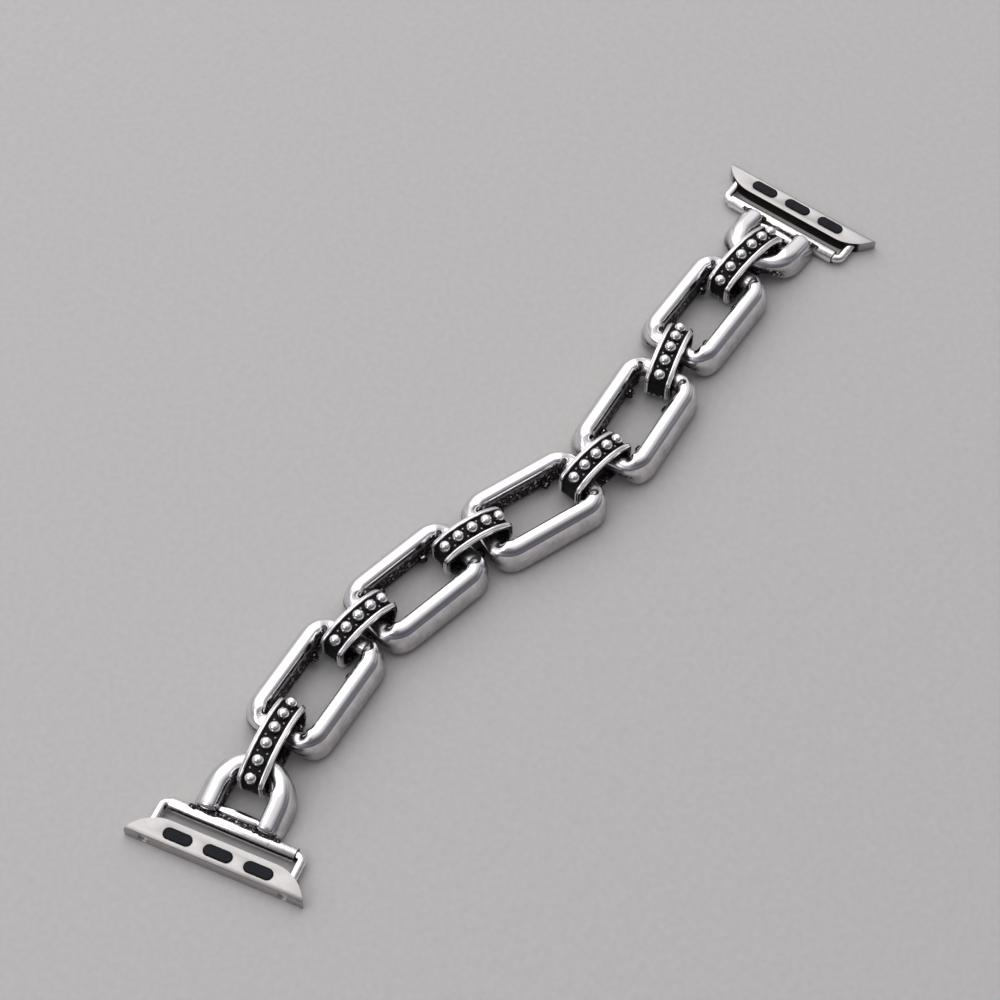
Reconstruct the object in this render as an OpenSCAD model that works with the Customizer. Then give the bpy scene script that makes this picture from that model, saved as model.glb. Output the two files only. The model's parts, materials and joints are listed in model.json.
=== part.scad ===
// Stretch chain watch band: five cast links joined by six beaded connectors, with a hoop, a hinge tube
// and a slide-in lug at each end. Millimetres, +Z up, the band lies face up in the loose curve of a
// chain laid on a table. The origin is the middle of the underside of the first lug plate, and +X runs
// from that lug to the other one.

/* [Lug plates] */
// Length of a lug plate, across the band
plate_l = 31.5; // [29:0.5:36]
// Depth of a lug plate, along the band
plate_w = 4.2; // [3.8:0.1:5.2]
// Thickness of a lug plate
plate_t = 2.4; // [2.2:0.1:3]
// Length of the curved end of a plate, from its tip to the straight rear edge
plate_end_l = 6.5; // [5:0.1:8]
// Radius that rounds the outer top edge of a plate
plate_round = 1; // [0.5:0.1:1.4]
// Length of a rubber pad
pad_l = 5.1; // [4:0.1:6]
// Width of a rubber pad
pad_w = 2.1; // [1.6:0.1:2.4]
// Distance between the middles of two pads
pad_pitch = 7.1; // [6.5:0.1:7.6]
// Depth of the pocket that a side pad is glued into
pad_depth = 0.7; // [0.5:0.1:1]
// How far the pads stand proud of the plate
pad_proud = 0.15; // [0.05:0.05:0.3]
// Thickness of the latch button in the middle of a plate
latch_t = 1; // [0.8:0.1:1.2]
// Travel of the latch button when it is pressed
latch_travel = 0.4; // [0.2:0.05:0.5]
// Wire diameter of the spring under the latch button
spring_wire = 0.2; // [0.15:0.05:0.25]

/* [Bails and hinge tubes] */
// Diameter of the bail wire
wire_d = 1.6; // [1.4:0.1:1.7]
// Distance between the two legs of a bail
bail_w = 24.6; // [23:0.1:26]
// Radius of the bends of a bail, at the middle of the wire
bail_bend_r = 1; // [0.8:0.1:1.4]
// Depth of the pit around each staked wire end
pit_depth = 0.3; // [0.2:0.1:0.5]
// Diameter of the pit around each staked wire end
pit_d = 2; // [1.9:0.05:2.1]
// Outside diameter of a hinge tube
tube_d = 2.4; // [2.3:0.1:2.8]
// Gap between a plate and its hinge tube
tube_gap = 1.8; // [1.7:0.1:3]

/* [Hoops] */
// Overall width of a hoop
hoop_w = 15; // [14.6:0.1:18]
// Length of a hoop, from the middle of its tube to the outside of its arch
hoop_l = 13; // [12.4:0.1:16]
// Diameter of a hoop's arch, where the connector rides
hoop_rod = 3.7; // [3.4:0.1:3.8]
// Width of a hoop's cast leg, seen from above
leg_w = 4.4; // [3.8:0.1:4.6]
// Height of a hoop's cast leg beside the arch
hoop_h = 4.9; // [4.4:0.1:5.4]
// Height of the hoop rod's middle above the underside of the leg
hoop_below = 2.4; // [2:0.1:2.6]
// Diameter of the straight bar that closes a hoop
hoop_bar_d = 2; // [1.6:0.1:2.4]
// Distance from the middle of the tube to the end faces of the hoop legs
hoop_seat = 0.6; // [0.4:0.1:0.8]

/* [Links] */
// Distance between the two end bars of a link
link_p = 20.2; // [19.5:0.1:26]
// Overall width of a link
link_w = 16.1; // [15.8:0.1:19]
// Width of the cast rail, seen from above
rail_w = 4.1; // [3.7:0.1:4.2]
// Height of the cast rail
rail_h = 5.6; // [5:0.1:5.9]
// Height of the end bar's middle above the underside of the rail
rail_below = 3.1; // [2.8:0.1:3.3]
// How far the outer side of the rail leans in, from foot to shoulder
rail_lean = 1.2; // [0.6:0.1:1.5]
// Depth of the ledge along the inner top edge of the rail
rail_ledge = 0.3; // [0.1:0.05:0.4]
// Width of the bevel along the foot of the rail
rail_foot = 0.5; // [0.3:0.05:0.6]
// Drop from the crown of the rail to the crease along its outer side
rail_crown = 0.95; // [0.7:0.05:1.1]
// Diameter of the round end bars that the connectors ride on
bar_d = 3.4; // [3:0.1:3.6]
// Step from an end bar up to the shoulder beside it
bar_shoulder = 0.15; // [0.1:0.05:0.25]
// Half of the length of an end bar, between its shoulders
bar_half_l = 3.4; // [3.2:0.05:3.5]
// Angle of the slanted part of a link to its long side
slant_angle = 30; // [27:1:34]
// Radius of the bend between side and slant, at the middle of the rail
side_bend_r = 3; // [2.5:0.1:3.3]
// Radius of the bend between slant and end bar, at the middle of the rail
end_bend_r = 2.3; // [2.2:0.05:2.4]
// Diameter of the small round nubs on the inner wall
nub_d = 1.8; // [1.6:0.1:2]
// How far a nub stands out of the wall
nub_out = 0.75; // [0.5:0.05:0.8]
// Distance of the nubs from the end bar
nub_from_bar = 4.8; // [4.4:0.1:6]

/* [Connectors] */
// Length of a connector between two links
ring_l = 13.9; // [13.8:0.1:17]
// Length of the longer connector between a link and a hoop
end_ring_l = 16.4; // [16.3:0.1:19]
// Height of a connector
ring_h = 8.2; // [8:0.1:9.5]
// Radius of a connector's rounded corners, seen from the side
ring_round = 3.1; // [2.4:0.1:3.6]
// Width of a connector's band
ring_w = 4.7; // [4:0.1:4.8]
// Thickness of a connector's band
ring_wall = 1.2; // [1:0.05:1.25]
// Radius of the arched top of a connector between two links
arch_r = 12; // [10:0.5:16]
// Radius of the arched top of an end connector
end_arch_r = 15; // [13:0.5:20]
// Width of the channel that holds the beads
channel_w = 3; // [2.4:0.1:3.4]
// Depth of the channel that holds the beads
channel_d = 0.55; // [0.3:0.05:0.7]
// Height at which the channel stops on the ends of a connector
channel_low = 1.8; // [1.4:0.1:3]
// Diameter of a bead
bead_d = 2.1; // [1.8:0.05:2.2]
// Distance between the middles of two beads, along the arch
bead_pitch = 2.8; // [2.6:0.05:2.9]
// Distance between the middles of two beads of an end connector
end_bead_pitch = 3.05; // [2.8:0.05:3.1]
// Beads on a connector between two links
beads = 5; // [3:1:5]
// Beads on an end connector
end_beads = 6; // [4:1:6]

/* [Elastic loops] */
// Thickness of the elastic
elastic_t = 0.35; // [0.25:0.05:0.4]
// Width of the elastic
elastic_w = 1.8; // [1.2:0.1:2.2]

/* [Fits] */
// Clearance between the elastic and the bars and walls around it
slack = 0.1; // [0.06:0.02:0.14]
// Radial clearance between hinge tube and bail wire
running_fit = 0.06; // [0.02:0.01:0.1]
// Clearance around a glued or staked piece
glue_gap = 0.03; // [0.02:0.01:0.05]

/* [How the band lies] */
// Heading of the first lug and hoop
lug_a_yaw = 14.5; // [5:0.5:20]
// Headings of the five links
link_yaw = [7, -9, -18.5, 7.5, 3.5]; // [-22:0.5:10]
// Headings of the six connectors
ring_yaw = [14.5, -5, -18, -5.5, 16.5, -3]; // [-20:0.5:20]
// Heading of the second hoop and lug
lug_b_yaw = 2; // [-5:0.5:10]
// Gap between the two pieces that each connector joins
end_gap = [2.5, 0.8, 0.7, 1.9, 1.9, 0.7]; // [0.6:0.1:3.6]
// How far each connector sits towards the next piece, from midway between its bars
ring_shift = [0.3, 0, 0, 0, 0, 0.5]; // [-0.6:0.1:0.6]

/* [Hidden] */
$fn = 48;
cut = 1;              // how far cutting shapes run past what they cut
seam = 0.02;          // gap at a soldered seat
links = 5;
rings = links + 1;

// Places across and up: the hinge wire, the end bars and the hoop rod, from the pieces that carry them
wire_z = max(plate_t, tube_d) / 2;
tube_x = plate_w / 2 + tube_gap + tube_d / 2;
rod_r = hoop_rod / 2;
bar_z = ring_wall + 2 * slack + elastic_t + bar_d / 2;
rod_z = ring_wall + 2 * slack + elastic_t + rod_r;
hoop_reach = hoop_l - rod_r;
hoop_pitch = asin((rod_z - wire_z) / hoop_reach);
hoop_run = hoop_reach * cos(hoop_pitch);
leg_y = (hoop_w - hoop_rod) / 2;
arch_centre = hoop_reach - leg_y;

// The band is walked from the first lug to the second, one straight stretch after another
function heading(a) = [cos(a), sin(a)];
function end_radius(n) = n == 1 || n == 2 * rings ? rod_r : rail_w / 2;
function bar_step(k) = end_radius(2 * k - 1) + end_radius(2 * k) + end_gap[k - 1];
function stretch(n) =
    n == 0 ? tube_x * heading(lug_a_yaw) :
    n == 1 ? hoop_run * heading(lug_a_yaw) :
    n == 2 * rings + 1 ? hoop_run * heading(lug_b_yaw) :
    n == 2 * rings + 2 ? tube_x * heading(lug_b_yaw) :
    n % 2 == 0 ? bar_step(n / 2) * heading(ring_yaw[n / 2 - 1]) :
    link_p * heading(link_yaw[(n - 3) / 2]);
function place(n) = n < 0 ? [0, 0] : place(n - 1) + stretch(n);
function pivot_z(n) = n == 1 || n == 2 * rings ? rod_z : bar_z;
function lift(p, z) = [p.x, p.y, z];

// Puts its children in the frame of a lug: the middle of the plate's underside, +X towards the band
module at_lug(second) {
    translate(second ? lift(place(2 * rings + 2), 0) : [0, 0, 0])
        rotate([0, 0, second ? lug_b_yaw + 180 : lug_a_yaw])
            children();
}

// Puts its children in the frame of a hoop: the middle of its hinge tube, +X along the raised hoop
module at_hoop(second) {
    at_lug(second)
        translate([tube_x, 0, wire_z])
            rotate([0, -hoop_pitch, 0])
                children();
}

// Puts its children midway between the end bars of a link, at the height of the bars
module at_link(i) {
    translate(lift((place(2 * i) + place(2 * i + 1)) / 2, bar_z))
        rotate([0, 0, link_yaw[i - 1]])
            children();
}

// Puts its children on the table under the middle of a connector
module at_ring(k) {
    middle = (place(2 * k - 1) + place(2 * k)) / 2 + ring_shift[k - 1] * heading(ring_yaw[k - 1]);
    translate(lift(middle, 0))
        rotate([0, 0, ring_yaw[k - 1]])
            children();
}

// A lug plate from above: a straight outer edge, and ends that curve in to the shorter rear edge
module plate_outline() {
    end_r = (pow(plate_end_l, 2) + pow(plate_w, 2)) / (2 * plate_w);
    straight = plate_l / 2 - plate_end_l;
    intersection() {
        translate([-plate_w / 2, -plate_l / 2])
            square([plate_w, plate_l]);
        union() {
            translate([plate_w / 2 - end_r, -straight])
                square([end_r, 2 * straight]);
            for (s = [-1, 1])
                translate([plate_w / 2 - end_r, s * straight])
                    circle(r = end_r, $fn = 128);
        }
    }
}

// The outline of a pad or of its pocket: a slot with round ends, across the band
module pad_outline(grow) {
    reach = (pad_l - pad_w) / 2;
    translate([-pad_w / 2 - grow, -reach])
        square([pad_w + 2 * grow, 2 * reach]);
    for (s = [-1, 1])
        translate([0, s * reach])
            circle(d = pad_w + 2 * grow);
}

// What rounding the outer top edge takes off the plate
module plate_edge_waste() {
    translate([-plate_w / 2 + plate_round, 0, plate_t - plate_round])
        rotate([90, 0, 0])
            difference() {
                translate([-plate_round - cut, 0, -plate_l / 2 - cut])
                    cube([plate_round + cut, plate_round + cut, plate_l + 2 * cut]);
                translate([0, 0, -plate_l / 2 - 2 * cut])
                    cylinder(r = plate_round, h = plate_l + 4 * cut);
            }
}

module lug_plate(second) {
    pocket = latch_t + latch_travel + 2 * spring_wire;
    color("gainsboro")
        at_lug(second)
            difference() {
                linear_extrude(plate_t)
                    plate_outline();
                plate_edge_waste();
                for (s = [-1, 1]) {
                    translate([0, s * pad_pitch, plate_t - pad_depth])
                        linear_extrude(pad_depth + cut)
                            pad_outline(0);
                    translate([-plate_w / 2 - cut, s * bail_w / 2, wire_z])
                        rotate([0, 90, 0]) {
                            cylinder(d = wire_d + 2 * glue_gap, h = plate_w + 2 * cut);
                            cylinder(d = pit_d, h = pit_depth + cut);
                        }
                }
                translate([0, 0, plate_t + pad_proud - pocket])
                    linear_extrude(pocket + cut)
                        pad_outline(0);
            }
}

module side_pads(second) {
    color([0.13, 0.13, 0.15])
        at_lug(second)
            for (s = [-1, 1])
                translate([0, s * pad_pitch, plate_t - pad_depth + glue_gap])
                    linear_extrude(pad_depth - glue_gap + pad_proud)
                        pad_outline(-glue_gap);
}

module latch(second) {
    color([0.13, 0.13, 0.15])
        at_lug(second)
            translate([0, 0, plate_t + pad_proud - latch_t])
                linear_extrude(latch_t)
                    pad_outline(-2 * glue_gap);
}

// The spring under the latch button: a small round coil, as one swept wire
module latch_spring(second) {
    turns = 2;
    steps = 10;
    sides = 6;
    coil_r = pad_w / 2 - spring_wire - 2 * glue_gap;
    low = plate_t + pad_proud - latch_t - latch_travel - 2 * spring_wire + glue_gap + spring_wire / 2;
    rise = latch_travel + 2 * spring_wire - 2 * glue_gap - spring_wire;
    last = turns * steps;
    points = [
        for (i = [0:last], j = [0:sides - 1])
            let (a = 360 * i / steps, b = 360 * j / sides, r = coil_r + spring_wire / 2 * cos(b))
                [r * cos(a), r * sin(a), low + rise * i / last + spring_wire / 2 * sin(b)]
    ];
    middles = [[coil_r, 0, low], [coil_r, 0, low + rise]];
    color("silver")
        at_lug(second)
            polyhedron(concat(points, middles), tube_faces(last, sides), convexity = 6);
}

// Faces of a closed tube: rings 0 to last of equally many points, each ring going from outward to up, and
// after them the middle of the first and of the last ring
function tube_faces(last, sides) = concat(
    [for (i = [0:last - 1], j = [0:sides - 1])
        [i * sides + j, i * sides + (j + 1) % sides, (i + 1) * sides + j]],
    [for (i = [0:last - 1], j = [0:sides - 1])
        [i * sides + (j + 1) % sides, (i + 1) * sides + (j + 1) % sides, (i + 1) * sides + j]],
    [for (j = [0:sides - 1]) [(j + 1) % sides, j, (last + 1) * sides]],
    [for (j = [0:sides - 1]) [last * sides + j, last * sides + (j + 1) % sides, (last + 1) * sides + 1]]
);

// One wire bent into a U: its legs are staked into the plate, and its bar is the hinge pin
module bail(second) {
    bar_half = bail_w / 2 - bail_bend_r;
    leg_x = -plate_w / 2 + pit_depth;
    color("silver")
        at_lug(second)
            translate([0, 0, wire_z]) {
                translate([tube_x, bar_half, 0])
                    rotate([90, 0, 0])
                        cylinder(d = wire_d, h = 2 * bar_half);
                for (s = [0, 1])
                    mirror([0, s, 0]) {
                        translate([tube_x - bail_bend_r, bar_half, 0])
                            rotate_extrude(angle = 90)
                                translate([bail_bend_r, 0])
                                    circle(d = wire_d);
                        translate([leg_x, bail_w / 2, 0])
                            rotate([0, 90, 0])
                                cylinder(d = wire_d, h = tube_x - bail_bend_r - leg_x);
                    }
            }
}

module hinge_tube(second) {
    half = bail_w / 2 - bail_bend_r - slack;
    color("gainsboro")
        at_hoop(second)
            rotate([90, 0, 0])
                translate([0, 0, -half])
                    difference() {
                        cylinder(d = tube_d, h = 2 * half);
                        translate([0, 0, -cut])
                            cylinder(d = wire_d + 2 * running_fit, h = 2 * half + 2 * cut);
                    }
}

// A closed D: a round arch, two cast legs and a straight bar, all soldered to the hinge tube
module hoop(second) {
    color("silver")
        at_hoop(second)
            difference() {
                union() {
                    translate([arch_centre, 0, 0])
                        rotate([0, 0, -round_half])
                            rotate_extrude(angle = 2 * round_half, $fn = 96)
                                translate([leg_y, 0])
                                    circle(r = rod_r);
                    for (s = [0, 1])
                        mirror([0, s, 0])
                            cast_leg();
                    translate([tube_d / 2 + seam + hoop_bar_d / 2, -leg_y, 0])
                        rotate([-90, 0, 0])
                            cylinder(d = hoop_bar_d, h = 2 * leg_y);
                }
                rotate([90, 0, 0])
                    translate([0, 0, -hoop_w])
                        cylinder(d = tube_d + 2 * seam, h = 2 * hoop_w);
            }
}

// Rails and legs are bent bars whose section changes from round, beside the connector, to the cast shape.
// Each station is [x, y, direction of the outside, share of the cast shape].
rail_r = rail_w / 2;
side_y = link_w / 2 - rail_r;
slant_out = 90 - slant_angle;
slant_across = side_y - side_bend_r * (1 - sin(slant_out)) - bar_half_l - end_bend_r * sin(slant_out);
slant_l = slant_across / cos(slant_out);
side_half = link_p / 2 - end_bend_r - slant_l * sin(slant_out)
    + (end_bend_r - side_bend_r) * cos(slant_out);
nub_y = side_y - rail_r + nub_d / 2 - nub_out;
end_steps = 6;
side_steps = 3;
function share(t) = t * t * (3 - 2 * t);
function bend(centre, r, a) = centre + r * [cos(a), sin(a)];
function at_end(i) =
    let (
        a = slant_out * i / end_steps,
        p = bend([link_p / 2 - end_bend_r, bar_half_l], end_bend_r, a)
    )
        [p.x, p.y, a, share(i / end_steps)];
function at_side(i) =
    let (
        a = slant_out + slant_angle * i / side_steps,
        p = bend([side_half, side_y - side_bend_r], side_bend_r, a)
    )
        [p.x, p.y, a, 1];
quarter = concat([for (i = [0:end_steps]) at_end(i)], [for (i = [0:side_steps]) at_side(i)]);
stations = concat(
    quarter,
    [for (i = [len(quarter) - 1:-1:0]) [-quarter[i][0], quarter[i][1], 180 - quarter[i][2], quarter[i][3]]]
);

// The cast section, [outward, up] from the middle of the bar: a foot, a leaning outer side, a crown and a
// ledge along the inner edge. It reaches half to either side, and below and above the middle of the bar.
function cast_section(half, below, above) =
    let (side = below + above - rail_crown - rail_foot)
        [
            [-half, rail_foot - below],
            [-half + rail_foot / 2, -below],
            [0, -below],
            [half - rail_foot, -below],
            [half, rail_foot - below],
            [half - 0.1 * rail_lean, rail_foot - below + 0.3 * side],
            [half - 0.25 * rail_lean, rail_foot - below + 0.55 * side],
            [half - 0.5 * rail_lean, rail_foot - below + 0.8 * side],
            [half - rail_lean, above - rail_crown],
            [0.2 * half, above - 0.3 * rail_crown],
            [-0.2 * half, above],
            [-0.55 * half, above - 0.05 * rail_crown],
            [-half + rail_ledge, above - 0.4 * rail_crown],
            [-half + rail_ledge, above - rail_crown],
            [-half, above - rail_crown - rail_ledge],
            [-half, 0],
            [-half, -below / 2]
        ];

function middles(path) = [for (s = [path[0], path[len(path) - 1]]) [s[0], s[1], 0]];

// A section at a station, as points of a ring: the round one, moved by its share towards the cast one
function ring_at(s, cap_r, section) = [
    for (p = section)
        let (round_p = cap_r * p / norm(p), q = round_p + s[3] * (p - round_p))
            [s[0] + q[0] * cos(s[2]), s[1] + q[0] * sin(s[2]), q[1]]
];

module rail() {
    section = cast_section(rail_r, rail_below, rail_h - rail_below);
    cap_r = bar_d / 2 + bar_shoulder;
    points = [for (s = stations) each ring_at(s, cap_r, section)];
    faces = tube_faces(len(stations) - 1, len(section));
    polyhedron(concat(points, middles(stations)), faces, convexity = 8);
}

// A hoop's leg starts round on the arch, past the connector, and ends on the tube. Its underside lies
// level with the table, as far as the leg is deep enough.
round_from = 36;
round_half = 40;
cast_from = 72;
arch_steps = 9;
leg_steps = 3;
function leg_station(a, x) =
    [x, leg_y * sin(a), a, share(min(1, (a - round_from) / (cast_from - round_from)))];
leg_stations = concat(
    [for (i = [0:arch_steps])
        let (a = round_from + (90 - round_from) * i / arch_steps)
            leg_station(a, bend([arch_centre, 0], leg_y, a).x)],
    [for (i = [1:leg_steps]) leg_station(90, arch_centre + (hoop_seat - arch_centre) * i / leg_steps)]
);
function leg_below(x) = min(hoop_below, (wire_z - slack + x * sin(hoop_pitch)) / cos(hoop_pitch));

function leg_section(x) = cast_section(leg_w / 2, leg_below(x), hoop_h - hoop_below);

module cast_leg() {
    cap_r = rod_r + bar_shoulder;
    points = [for (s = leg_stations) each ring_at(s, cap_r, leg_section(s[0]))];
    faces = tube_faces(len(leg_stations) - 1, len(leg_section(0)));
    polyhedron(concat(points, middles(leg_stations)), faces, convexity = 8);
}

// Two cast rails, joined by a round bar at each end, with four nubs on the inner walls
module link(i) {
    color("silver")
        at_link(i)
            union() {
                for (s = [0, 1])
                    mirror([0, s, 0])
                        rail();
                for (x = [-1, 1]) {
                    translate([x * link_p / 2, bar_half_l, 0])
                        rotate([90, 0, 0])
                            cylinder(d = bar_d, h = 2 * bar_half_l);
                    for (y = [-1, 1])
                        translate([x * (link_p / 2 - nub_from_bar), y * nub_y, -rail_foot])
                            sphere(d = nub_d, $fn = 24);
                }
            }
}

// A connector from the side: a block with round corners and an arched top, drawn in by the given inset
module ring_side(length, crown_r, inset) {
    half = length / 2;
    intersection() {
        union() {
            for (x = [-1, 1], z = [ring_round, ring_h - ring_round])
                translate([x * (half - ring_round), z])
                    circle(r = ring_round - inset, $fn = 64);
            translate([-half + ring_round, inset])
                square([length - 2 * ring_round, ring_h - 2 * inset]);
            translate([-half + inset, ring_round])
                square([length - 2 * inset, ring_h - 2 * ring_round]);
        }
        translate([0, ring_h - crown_r])
            circle(r = crown_r - inset, $fn = 192);
    }
}

// Extrudes a side view across the band
module across(width) {
    rotate([90, 0, 0])
        translate([0, 0, -width / 2])
            linear_extrude(width)
                children();
}

// A bead's root reaches down through this share of the channel's floor
bead_root = 0.9;
bead_lift = bead_d / 2 - bead_root * (ring_wall - channel_d);
function at_hoop_end(k) = k == 1 || k == rings;
function ring_length(k) = at_hoop_end(k) ? end_ring_l : ring_l;
function ring_crown_r(k) = at_hoop_end(k) ? end_arch_r : arch_r;

// A wide closed ring: a sunk channel between two rims runs over its top, with a row of beads
module connector(k) {
    length = ring_length(k);
    crown_r = ring_crown_r(k);
    count = at_hoop_end(k) ? end_beads : beads;
    pitch = at_hoop_end(k) ? end_bead_pitch : bead_pitch;
    color("dimgray")
        at_ring(k)
            difference() {
                across(ring_w)
                    ring_side(length, crown_r, 0);
                across(ring_w + 2 * cut)
                    ring_side(length, crown_r, ring_wall);
                across(channel_w)
                    difference() {
                        translate([-length / 2 - cut, channel_low])
                            square([length + 2 * cut, ring_h]);
                        ring_side(length, crown_r, channel_d);
                    }
            }
    color("silver")
        at_ring(k)
            for (i = [0:count - 1]) {
                angle = (i - (count - 1) / 2) * pitch / crown_r * 180 / PI;
                translate([0, 0, ring_h - crown_r])
                    rotate([0, angle, 0])
                        translate([0, 0, crown_r - channel_d + bead_lift])
                            sphere(d = bead_d);
            }
}

// The angle between a connector and one of its bars
function bar_skew(k, n) = ring_yaw[k - 1] - (
    n == 1 ? lug_a_yaw :
    n == 2 * rings ? lug_b_yaw :
    link_yaw[floor(n / 2) - 1]);
function bar_radius(n) = n == 1 || n == 2 * rings ? rod_r : bar_d / 2;

// How much further a skewed or curved bar reaches along the connector, over the width of the elastic
function extra_reach(k, n) =
    bar_radius(n) * (1 / cos(bar_skew(k, n)) - 1) + elastic_w / 2 * abs(tan(bar_skew(k, n)))
    + (n == 1 || n == 2 * rings ? pow(elastic_w / 2, 2) / (hoop_w - hoop_rod) : 0);

// An elastic loop around the two bars in a connector, which pulls them together. It keeps clear of the
// connector's walls.
module elastic(k) {
    ends = [2 * k - 1, 2 * k];
    run = norm(place(ends[1]) - place(ends[0]));
    color([0.1, 0.1, 0.1])
        translate(lift(place(ends[0]), 0))
            rotate([0, 0, ring_yaw[k - 1]])
                across(elastic_w)
                    difference() {
                        intersection() {
                            loop_outline(k, ends, run, slack + elastic_t);
                            translate([run / 2 + ring_shift[k - 1], 0])
                                ring_side(ring_length(k), ring_crown_r(k), ring_wall + slack);
                        }
                        loop_outline(k, ends, run, slack);
                    }
}

module loop_outline(k, ends, run, grow) {
    hull() {
        translate([-extra_reach(k, ends[0]), pivot_z(ends[0])])
            circle(r = bar_radius(ends[0]) + grow);
        translate([run + extra_reach(k, ends[1]), pivot_z(ends[1])])
            circle(r = bar_radius(ends[1]) + grow);
    }
}

for (second = [false, true]) {
    end = second ? "b" : "a";
    lug_plate(second);
    side_pads(second);
    latch(second);
    latch_spring(second);
    bail(second);
    hinge_tube(second);
    hoop(second);
}
for (k = [1:rings]) {
    connector(k);
    elastic(k);
}
for (i = [1:links])
    link(i);
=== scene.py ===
# %% [markdown]
# # A stretch chain watch band, dressed for a studio picture
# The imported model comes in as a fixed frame: every body of the band is an empty, and every CAD solid hangs
# on its body at the place it has at rest. Nothing here moves that frame. New pieces are built around it and
# told which body they ride on, so the same script looks right at every pose of the joints.

# %% Load the frame
import json
import math

import bmesh
import bpy
from mathutils import Matrix, Vector, noise
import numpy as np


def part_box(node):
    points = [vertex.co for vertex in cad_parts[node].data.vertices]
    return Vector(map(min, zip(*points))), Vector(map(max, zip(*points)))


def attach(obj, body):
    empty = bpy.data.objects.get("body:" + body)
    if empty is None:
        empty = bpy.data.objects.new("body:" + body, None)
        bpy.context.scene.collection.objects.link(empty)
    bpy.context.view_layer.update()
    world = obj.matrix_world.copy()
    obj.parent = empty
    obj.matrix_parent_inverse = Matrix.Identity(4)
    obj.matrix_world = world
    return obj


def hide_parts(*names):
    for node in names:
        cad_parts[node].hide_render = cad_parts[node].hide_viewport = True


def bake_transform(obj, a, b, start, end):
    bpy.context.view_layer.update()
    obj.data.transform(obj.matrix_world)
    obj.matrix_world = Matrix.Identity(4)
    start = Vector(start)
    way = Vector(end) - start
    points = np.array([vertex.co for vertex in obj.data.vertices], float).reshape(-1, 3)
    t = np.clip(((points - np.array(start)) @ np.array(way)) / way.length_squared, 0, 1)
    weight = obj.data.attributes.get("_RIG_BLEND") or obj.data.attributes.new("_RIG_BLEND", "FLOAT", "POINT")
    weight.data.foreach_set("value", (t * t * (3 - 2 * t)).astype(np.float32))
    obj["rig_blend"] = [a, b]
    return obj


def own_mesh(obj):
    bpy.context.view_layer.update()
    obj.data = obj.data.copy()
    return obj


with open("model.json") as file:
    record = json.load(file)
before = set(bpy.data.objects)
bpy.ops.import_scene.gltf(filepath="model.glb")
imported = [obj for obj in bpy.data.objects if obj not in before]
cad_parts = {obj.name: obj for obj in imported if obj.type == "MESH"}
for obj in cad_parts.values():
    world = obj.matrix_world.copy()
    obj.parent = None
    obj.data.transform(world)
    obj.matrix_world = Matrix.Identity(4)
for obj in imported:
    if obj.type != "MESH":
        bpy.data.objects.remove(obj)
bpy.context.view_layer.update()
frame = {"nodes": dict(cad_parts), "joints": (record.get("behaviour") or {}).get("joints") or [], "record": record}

MM = 0.001

# %% [markdown]
# ## Where everything sits
# The band lies in a loose curve, so no two pieces point the same way. The joints already say where each bar
# is and which way it turns. Reading the places from them is safer than typing angles again, because the
# dressed pieces then follow the CAD model by themselves.

# %% Places of the pieces, read from the joints
joint = {j["name"]: j for j in frame["joints"]}
CHAIN = range(1, 7)


def pivot(name):
    return Vector(joint[name]["pos_m"])


def frame_at(origin, along):
    """A matrix with +X along the given direction, +Z as far up as it can be, and millimetres as its unit."""
    x = along.normalized()
    y = Vector((0, 0, 1)).cross(x).normalized()
    turn = Matrix((x, y, x.cross(y))).transposed().to_4x4()
    return Matrix.Translation(origin) @ turn @ Matrix.Scale(MM, 4)


def middle(node):
    low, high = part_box(node)
    return (low + high) / 2


bars = {}
for k in CHAIN:
    bars[2 * k - 1] = pivot(f"connector_{k}_swing")
    bars[2 * k] = pivot(f"link_{k}_swing" if k < 6 else "hoop_b_swing")
tubes = {"a": pivot("lug_a_hinge"), "b": pivot("lug_b_hinge")}
rods = {"a": bars[1], "b": bars[12]}

link_place, ring_place, hoop_place, lug_place, ring_heading = {}, {}, {}, {}, {}
for i in range(1, 6):
    centre = (bars[2 * i] + bars[2 * i + 1]) / 2
    link_place[i] = frame_at(centre, bars[2 * i + 1] - bars[2 * i])
for k in CHAIN:
    ring_heading[k] = Vector(joint[f"connector_{k}_stretch"]["axis"])
    spot = middle(f"connector_{k}")
    ring_place[k] = frame_at(Vector((spot.x, spot.y, 0)), ring_heading[k])
PLATE_TO_TUBE = 5.1
for end in "ab":
    hoop_place[end] = frame_at(tubes[end], rods[end] - tubes[end])
    flat = Vector((rods[end].x - tubes[end].x, rods[end].y - tubes[end].y, 0)).normalized()
    foot = Vector((tubes[end].x, tubes[end].y, 0)) - flat * PLATE_TO_TUBE * MM
    lug_place[end] = frame_at(foot, flat)
print("hoop pitch, degrees:", round(math.degrees(math.asin((rods["a"] - tubes["a"]).normalized().z)), 1))

# %% [markdown]
# ## Camera
# The picture was taken from above and to one side, from far enough away that the chain shows hardly any
# perspective. The camera was fitted to the plates and bars of the band, whose places on the table are known.

# %% Camera
camera = bpy.data.objects.new("camera", bpy.data.cameras.new("camera"))
bpy.context.scene.collection.objects.link(camera)
bpy.context.scene.camera = camera
CAMERA_AT = Vector((-97.06, -132.67, 360.4)) * MM
CAMERA_TO = Vector((79.95, 6.57, 0)) * MM
camera.data.sensor_width = 36
camera.data.lens = 88.95
camera.location = CAMERA_AT
camera.rotation_mode = "QUATERNION"
camera.rotation_quaternion = (CAMERA_TO - CAMERA_AT).to_track_quat("-Z", "Y")
camera.data.clip_start, camera.data.clip_end = 0.01, 10
print("camera distance, mm:", round((CAMERA_TO - CAMERA_AT).length / MM))

# %% [markdown]
# ## Helpers for colours and nodes
# A colour on a screen is not a share of light: it has to be made linear before a shader can use it. One
# function does that for every hex value. Another one adds a shader node with its settings and links, and
# every finish below is built from it, from the pattern up to the shader.

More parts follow.
